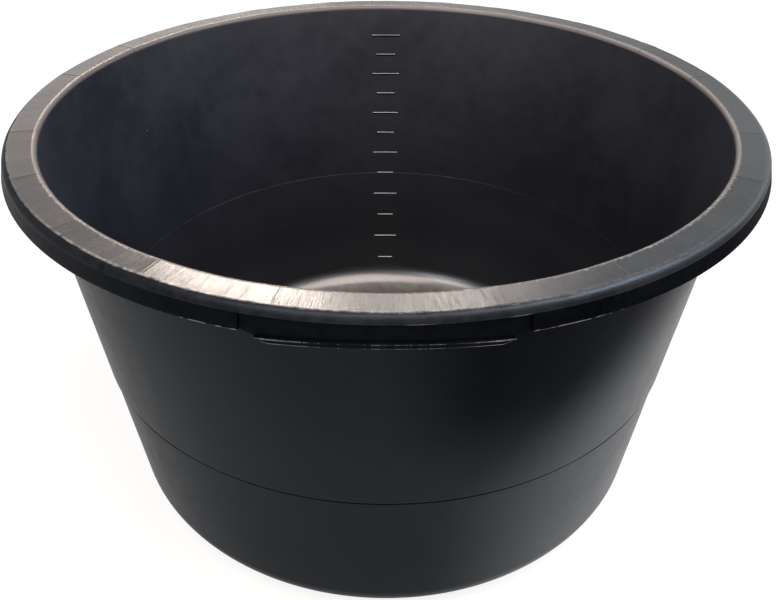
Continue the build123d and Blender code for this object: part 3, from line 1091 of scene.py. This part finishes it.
# rubbed places on the shoulder, the skirt and the grips' lips, partly wear and partly painted
# highlight, which "wear" tells the materials
rubbing = {
    # patches round the rim: seed, slowest and fastest wave
    "crestPatches": (31, 40, 1100),
    "footPatches": (32, 5, 60),
    "skirtPatches": (33, 7, 400),
    "lipPatches": (34, 11, 900),
    "waves": 9,
    "phases": 6.28,
    "fullAt": 3,                # a sum of this and more counts as 1
    "strength": 0.6,
    "crestReach": 0.0007,
    "footReach": 0.0005,
    "crestLeast": 0.12,         # share of the crest's wear that is left away from the front
    "frontStep": (0.6, 0.85),   # of how far forward a place lies, 1 in front
    "skirtDrop": 0.0004,        # the skirt is rubbed round a line this far under its rounding
    "skirtReach": 0.0006,
    "skirtFaceStep": (-0.0002, 0.0004),
    "gripReach": 0.12,          # how far beside the grips the skirt is rubbed more, in radians
    "skirtLeast": 0.35,
    "skirtBeside": 0.75,
    "skirtEven": 0.45,
    "lipLow": (0.12, 0.13),     # the lip's two rubbed lines: place and width, as shares of it
    "lipHigh": (0.88, 0.12),
    "lipHighShare": 0.7,
    "lipFaceStep": (0.6, 0.9),
    "lipEndStep": (0.5, 0.95),
    "lipLeast": 0.38,
    "lipEnds": 0.5,
    "lipPatchy": 0.3,
}
shoulder = {
    "steps": 26,
    "footRing": (0.00001, 0.0003),              # one more ring this far in and up from the foot
    "followReach": 0.0012,      # the first rings follow the flat top's chips
}


def streaky(t, seed, slow, fast):
    # a sum of waves round the rim between two wave counts, 0 to 1, about half of it at 0
    rng = np.random.default_rng(seed)
    counts = np.round(np.geomspace(slow, fast, rubbing["waves"]))
    total = sum(np.sin(count * t + rng.uniform(0, rubbing["phases"])) for count in counts)
    return np.clip(total / rubbing["fullAt"], 0, 1)


def gripAway(t):
    # how far a turn is from the middle of the nearer grip
    return np.minimum(np.abs(turnGap(t, -math.pi / 2)), np.abs(turnGap(t, math.pi / 2)))


def crestAway(r, z):
    # how far a point is from the flat top's outer edge
    return np.hypot(r - crestEnd[0], z - crestEnd[1])


def shoulderShape(r, z, t):
    # the first rings follow the land's chipped edge
    worn = edgeWear(t) * bell(crestAway(r, z), shoulder["followReach"])
    sag = panelSag(t) * smoothStep(tub["shoulderLow"], height - 2 * rim["skin"], z)
    return r - worn, z - rim["chipDrop"] * worn - sag


def shoulderWearAndSheen(r, z, t):
    # rubbed light just outside the crisp edge in patches, and at the rounding's foot over the
    # grips; partly wear, partly painted highlight
    atFront = smoothStep(*rubbing["frontStep"], -np.sin(t))
    atFront = rubbing["crestLeast"] + (1 - rubbing["crestLeast"]) * atFront
    crest = bell(crestAway(r, z), rubbing["crestReach"]) * atFront
    foot = bell(z - tub["shoulderLow"], rubbing["footReach"]) * (gripAway(t) < tub["gripHalfAngle"])
    crest = crest * streaky(t, *rubbing["crestPatches"])
    foot = foot * streaky(t, *rubbing["footPatches"])
    return rubbing["strength"] * (crest + foot)


shoulderR, shoulderLow = tub["shoulderOuter"] - tub["shoulder"], tub["shoulderLow"]
shoulderEnd = math.acos((crestEnd[0] - shoulderR) / tub["shoulder"])
shoulderArc = arcPoints(shoulderR, shoulderLow, tub["shoulder"], 0, shoulderEnd, shoulder["steps"])
footIn, footUp = shoulder["footRing"]
shoulderOutline = np.concatenate([
    shoulderArc[:1], shoulderArc[:1] + [[-footIn, footUp]], shoulderArc[1:],
    [[landOuter, edgeZ], [landOuter, landUnder]],
    [[tub["shoulderOuter"] - tub["skirt"], shoulderLow]],
])
rimShoulder = ringPiece("rimShoulder", shoulderOutline, rimTurns, shoulderShape,
                        wearing=shoulderWearAndSheen)
dress(rimShoulder, shoulderMaterial, "rim_shoulder")

skirt = {
    "turns": 520,
    "lowSteps": 3,
    "roundSteps": 9,
    "faceSteps": 6,
    "faceStart": (0.97, 0.0008),                # share of the rounding out, and how far up
}
skirtFace = tub["skirtOuter"] - tub["skirtEdge"]
skirtEdgeZ = tub["skirtLow"] + tub["skirtEdge"]
skirtLean = math.atan2(tub["skirtOuter"] - tub["shoulderOuter"], shoulderLow - tub["skirtLow"])


def skirtWearAndSheen(r, z, t):
    # the lower outer edge is rubbed light, more so beside the grips; partly wear, partly painted
    # reflection
    low = bell(z - skirtEdgeZ + rubbing["skirtDrop"], rubbing["skirtReach"])
    start, end = rubbing["skirtFaceStep"]
    face = smoothStep(skirtFace + start, skirtFace + end, r)
    beside = bell(gripAway(t) - tub["gripHalfAngle"], rubbing["gripReach"])
    patchy = rubbing["skirtEven"] + streaky(t, *rubbing["skirtPatches"])
    return low * face * (rubbing["skirtLeast"] + rubbing["skirtBeside"] * beside) * patchy


def skirtPiece(name, middle, node):
    # the skirt from one grip to the other, round the side that middle points to
    half = math.pi / 2 - tub["gripHalfAngle"]
    turns = middle + np.linspace(-half, half, skirt["turns"])
    out, up = skirt["faceStart"]
    outline = np.concatenate([
        [[tub["shoulderOuter"] - tub["skirt"], shoulderLow]],
        runPoints((skirtFace + tub["skirtEdge"] - tub["skirt"], tub["skirtLow"]),
                  (skirtFace, tub["skirtLow"]), skirt["lowSteps"]),
        arcPoints(skirtFace, skirtEdgeZ, tub["skirtEdge"], downward, skirtLean,
                  skirt["roundSteps"]),
        runPoints((skirtFace + tub["skirtEdge"] * out, skirtEdgeZ + up),
                  (tub["shoulderOuter"], shoulderLow), skirt["faceSteps"]),
        [[tub["shoulderOuter"], shoulderLow]],
    ])
    piece = ringPiece(name, outline, turns, closed=False, wearing=skirtWearAndSheen)
    dress(piece, rimMaterial, node)


skirtPiece("skirtRight", 0.0, "skirt_right")
skirtPiece("skirtLeft", math.pi, "skirt_left")
print("stage: rim")


grip = {
    "turns": 240,
    "recess": 0.0015,           # the panel lies this far behind the rounding above it
    "flare": 0.001,
    "depth": 0.020,             # the panel's lower edge at its ends, below the flat top
    "panelRound": (0.1, 0.03),  # its rounded corners, as shares of its thickness and height
    "panelRows": 8,
    "lipHeight": 0.0035,
    "bow": 0.002,               # the lip is this much higher in its middle
    "halfLength": 0.066,
    "lipHalf": 0.0738,          # with its slanted ends
    "lipRows": 6,
    "edgeRound": 0.0008,
    "roundSteps": 6,
    "endHeight": 0.0004,
}
panelEnd = height - grip["depth"]
panelTop = tub["shoulderOuter"] - grip["recess"]
panelLean = grip["flare"] / (shoulderLow - panelEnd)
lipFace = -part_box("front_grip_lip")[0].y
lipEnd = panelEnd - grip["lipHeight"]
lipDepth = lipFace - (panelTop + grip["flare"] - tub["skirt"])
cornerX = tub["skirtOuter"] * math.sin(tub["gripHalfAngle"])


def panelRadius(z):
    # a straight run that flares outwards on its way down = top radius + (top - z) * lean
    return panelTop + (shoulderLow - z) * panelLean


def bowLine(x):
    # the panel's lower edge: end height + bow * (1 - (x / half length)^2)
    return panelEnd + grip["bow"] * (1 - (x / grip["halfLength"]) ** 2)


def slantLine(x):
    # the lip's slanted ends, straight from its lower corner up to the skirt's lower corner:
    # end height + (|x| - half length) * rise
    rise = (tub["skirtLow"] - lipEnd) / (cornerX - grip["halfLength"])
    return lipEnd + (np.abs(x) - grip["halfLength"]) * rise


def sideways(t):
    # how far a turn lies to the side of the grip's middle = radius * sin(turn from the middle)
    return panelRadius(panelEnd) * np.sin(gripAway(t))


def panelShape(a, b, t):
    # a runs from the back to the face, b from the lower edge to the top
    low = np.maximum(bowLine(sideways(t)), slantLine(sideways(t)))
    z = low + b * (shoulderLow - low)
    return panelRadius(z) - (1 - a) * tub["skirt"], z


def lipShape(a, b, t):
    # a runs from the back to the face, b from the lip's lower edge to the panel's
    high = bowLine(sideways(t))
    low = np.maximum(high - grip["lipHeight"], slantLine(sideways(t)))
    return lipFace - (1 - a) * lipDepth, low + b * np.maximum(high - low, grip["endHeight"])


def lipWearAndSheen(a, b, t):
    # both long edges of the lip are rubbed, and its ends more than its middle; partly wear, partly
    # painted highlight on the edges
    (lowPlace, lowWidth), (highPlace, highWidth) = rubbing["lipLow"], rubbing["lipHigh"]
    edges = bell(b - lowPlace, lowWidth) + rubbing["lipHighShare"] * bell(b - highPlace, highWidth)
    ends = smoothStep(*rubbing["lipEndStep"], sideways(t) / grip["halfLength"])
    along = (rubbing["lipLeast"] + rubbing["lipEnds"] * ends
             + rubbing["lipPatchy"] * streaky(t, *rubbing["lipPatches"]))
    return edges * smoothStep(*rubbing["lipFaceStep"], a) * along


def boxProfile(roundA, roundB, rows):
    # a unit box, run anticlockwise, with its two corners at the face rounded to quarter ellipses
    a = np.linspace(0, math.pi / 2, grip["roundSteps"])[:, None]
    lower = np.concatenate([1 - roundA + roundA * np.sin(a), roundB - roundB * np.cos(a)], 1)
    face = runPoints((1, roundB), (1, 1 - roundB), rows)[1:]
    upper = (lower * [1, -1] + [0, 1])[::-1]
    return np.concatenate([[[0.0, 0.0]], lower, face, upper, [[0.0, 1.0]]])


def gripPiece(name, middle, half, outline, shaping, wearing, node):
    # a bar along the rim, reaching as far as half to each side of the grip's middle
    turns = middle + np.linspace(-half, half, grip["turns"])
    piece = ringPiece(name, outline, turns, shaping, closed=False, wearing=wearing)
    dress(piece, rimMaterial, node)


panelOutline = boxProfile(*grip["panelRound"], grip["panelRows"])
lipOutline = boxProfile(grip["edgeRound"] / lipDepth, grip["edgeRound"] / grip["lipHeight"],
                        grip["lipRows"])
lipHalf = math.asin(grip["lipHalf"] / panelRadius(panelEnd))
for side, middle in (("front", -math.pi / 2), ("rear", math.pi / 2)):
    gripPiece(f"{side}GripPanel", middle, tub["gripHalfAngle"], panelOutline, panelShape, None,
              f"{side}_grip_panel")
    gripPiece(f"{side}GripLip", middle, lipHalf, lipOutline, lipShape, lipWearAndSheen,
              f"{side}_grip_lip")
print("stage: grips")


marks = {
    # heights on the inside of the wall, 5 litres apart; every second mark is a long one
    "levels": [0.0444, 0.0728, 0.1002, 0.1268, 0.1526, 0.1774,
               0.2015, 0.2250, 0.2480, 0.2703, 0.2922, 0.3136],
    "longAngle": math.radians(6.5),
    "shortAngle": math.radians(4.4),
    # cross-section from its foot up, in millimetres: height, how proud of the wall, how much
    # painted shade
    "section": [(-2.0, 0.0, 1), (-1.9, 0.05, 1), (-0.5, 0.05, 1), (-0.4, 0.1, 1),
                (-0.34, 0.56, 0), (-0.30, 0.66, 0), (-0.24, 0.68, 0), (-0.18, 0.62, 0),
                (0.16, 0.12, 0), (0.26, 0.0, 0)],
    "bury": 0.0012,             # how far the back of a mark lies inside the wall
    "turns": 25,
    "taper": 14,                # the ends taper in over one part in this many of half the length
}


def insideRadius(z):
    # the inner wall's radius, above the ledge or below it
    return upperInner(z) if z > tub["ledge"] else easedInner(z)


def markPiece(name, levels, angle, node):
    # each mark is a ridge proud of the wall, swept along the wall, with its ends tapered in
    count = marks["turns"]
    turns = math.pi / 2 + np.linspace(-angle / 2, angle / 2, count)
    ends = np.sqrt(np.clip((1 - np.abs(np.linspace(-1, 1, count))) * marks["taper"], 0, 1))[:, None]
    section = np.array(marks["section"]) / [millimetres, millimetres, 1]
    h = np.concatenate([section[:, 0], section[[-1, 0], 0]])
    proud = np.concatenate([section[:, 1], [0, 0]])
    sunk = np.concatenate([0 * section[:, 1], [marks["bury"]] * 2])
    paintedShade = np.concatenate([section[:, 2], [0, 0]])
    # the section runs clockwise, so its faces are turned over
    quads = np.roll(bandFaces(count, len(h), closed=False)[:, ::-1], 1, axis=1)
    lids = lidFaces(count, len(h))[:, ::-1]
    points, groups = [], []
    for place, z in enumerate(levels):
        r = insideRadius(z) + h * slope + sunk - proud * ends
        grid = np.stack([r * np.cos(turns)[:, None], r * np.sin(turns)[:, None],
                         np.repeat((z + h)[None, :], count, 0)], -1)
        start = place * count * len(h)
        groups += [quads + start, lids + start]
        points.append(grid.reshape(-1, 3))
    # the strip under each ridge is marked for painted shade, which the "wear" attribute carries
    wear = np.tile(paintedShade, count * len(levels))
    piece = meshPiece(name, np.concatenate(points), groups, wear)
    dress(piece, markMaterial, node)


markPiece("longLitreMarks", marks["levels"][1::2], marks["longAngle"], "long_litre_marks")
markPiece("shortLitreMarks", marks["levels"][0::2], marks["shortAngle"], "short_litre_marks")
print("stage: litre marks")


# the ribs keep their solids' shapes
for node in ["rim_ribs", "front_grip_ribs", "rear_grip_ribs"]:
    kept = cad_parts[node]
    kept.data.materials.clear()
    kept.data.materials.append(rimMaterial)
print("stage: kept nodes")


studio = {
    "floorRadius": 5.0,
    "floorDepth": 0.02,
    "floorFan": 0.5,
    "floorTurns": 96,
    "floorColour": rgb(0.93, 0.93, 0.93),
    "floorPatch": rgb(0.90, 0.90, 0.91),
    "mottle": (3.0, 2.0, 0.5),  # noise: scale, detail, roughness
    "mottleShare": 0.04,
    "shadowLift": 0.84,         # how far the floor's own white shows through its shadows
    "skyLight": 0.28,
    "skyColour": rgb(0.93, 0.97, 1.0),
    "white": rgb(1, 1, 1),
    # name, energy, apparent size, azimuth from +Y towards +X, height, colour; angles in degrees
    "lamps": [
        ("overheadLight", 3.0, 42, 158, 69, (1.0, 0.865, 0.785)),
        ("keyLeftLight", 0.90, 10, -10, 34, (1.0, 0.875, 0.775)),
        ("keyRightLight", 0.36, 10, 5.5, 34.5, (1.0, 0.88, 0.79)),
        ("lowLeftLight", 0.07, 24, -17, 20, (1.0, 0.87, 0.76)),
        ("rightLight", 1.75, 28, 91, 49, (0.76, 0.885, 1.0)),
        ("rightLowLight", 0.25, 20, 68, 19, (0.80, 0.90, 1.0)),
        ("frontLeftLight", 0.4, 20, 210, 38, (0.88, 0.94, 1.0)),
        ("frontHighLight", 0.85, 18, 222, 56, (1.0, 0.90, 0.83)),
    ],
}


def seenRays(shop):
    # 1 for a ray that shows the background: straight from the camera, mirrored or refracted
    rays = [shop.node("ShaderNodeLightPath", out=f"Is {kind} Ray")
            for kind in ("Camera", "Glossy", "Transmission")]
    return shop.maths("MAXIMUM", shop.maths("MAXIMUM", rays[0], rays[1]), rays[2])


floorShop = newShop("studioFloor")
mottle = floorShop.noise(floorShop.place(), *studio["mottle"]) * studio["mottleShare"]
lit = floorShop.node("ShaderNodeBsdfDiffuse", None, {
    "Color": floorShop.mix(mottle, studio["floorColour"], studio["floorPatch"]), "Roughness": 1.0})
plain = floorShop.node("ShaderNodeEmission", None, {"Color": studio["white"], "Strength": 1.0})
studioFloorMaterial = floorShop.finish(
    floorShop.blend(seenRays(floorShop) * studio["shadowLift"], lit, plain))
studioRadius, studioUnder = studio["floorRadius"], -studio["floorDepth"]
studioOutline = np.array([[0.0, studioUnder], [studioRadius, studioUnder],
                          [studioRadius, 0.0], [studio["floorFan"], 0.0], [0.0, 0.0]])
studioFloor = discPiece("studioFloor", studioOutline, circle(studio["floorTurns"]))
studioFloor.data.materials.append(studioFloorMaterial)

for name, energy, size, azimuth, rise, colour in studio["lamps"]:
    data = bpy.data.lights.new(name, "SUN")
    data.energy, data.angle, data.color = energy, math.radians(size), colour
    lamp = bpy.data.objects.new(name, data)
    lamp.rotation_euler = (math.radians(90 - rise), 0, math.radians(180 - azimuth))
    bpy.context.scene.collection.objects.link(lamp)

world = bpy.data.worlds.new("studioWorld")
bpy.context.scene.world = world
sky = Shop(world)
ambient = sky.node("ShaderNodeBackground", None, {
    "Color": studio["skyColour"], "Strength": studio["skyLight"]})
white = sky.node("ShaderNodeBackground", None, {"Color": studio["white"], "Strength": 1.0})
sky.finish(sky.blend(seenRays(sky), ambient, white), "ShaderNodeOutputWorld")

# the camera, in metres and radians; lens and sensor in millimetres
view = {
    "location": (0.0, -0.7005, 0.6338),
    "pitch": math.radians(60.67),
    "roll": 0.0,
    "turn": math.radians(0.419),
    "lens": 41.52,
    "sensor": 36.0,
    "shift": (0.01097, -0.1144),
}
cameraData = bpy.data.cameras.new("camera")
cameraData.lens, cameraData.sensor_width = view["lens"], view["sensor"]
cameraData.shift_x, cameraData.shift_y = view["shift"]
camera = bpy.data.objects.new("camera", cameraData)
camera.location = view["location"]
camera.rotation_euler = (view["pitch"], view["roll"], view["turn"])
bpy.context.scene.collection.objects.link(camera)
bpy.context.scene.camera = camera

bpy.context.scene.view_settings.view_transform = "Standard"
print("stage: studio")

bpy.context.view_layer.update()
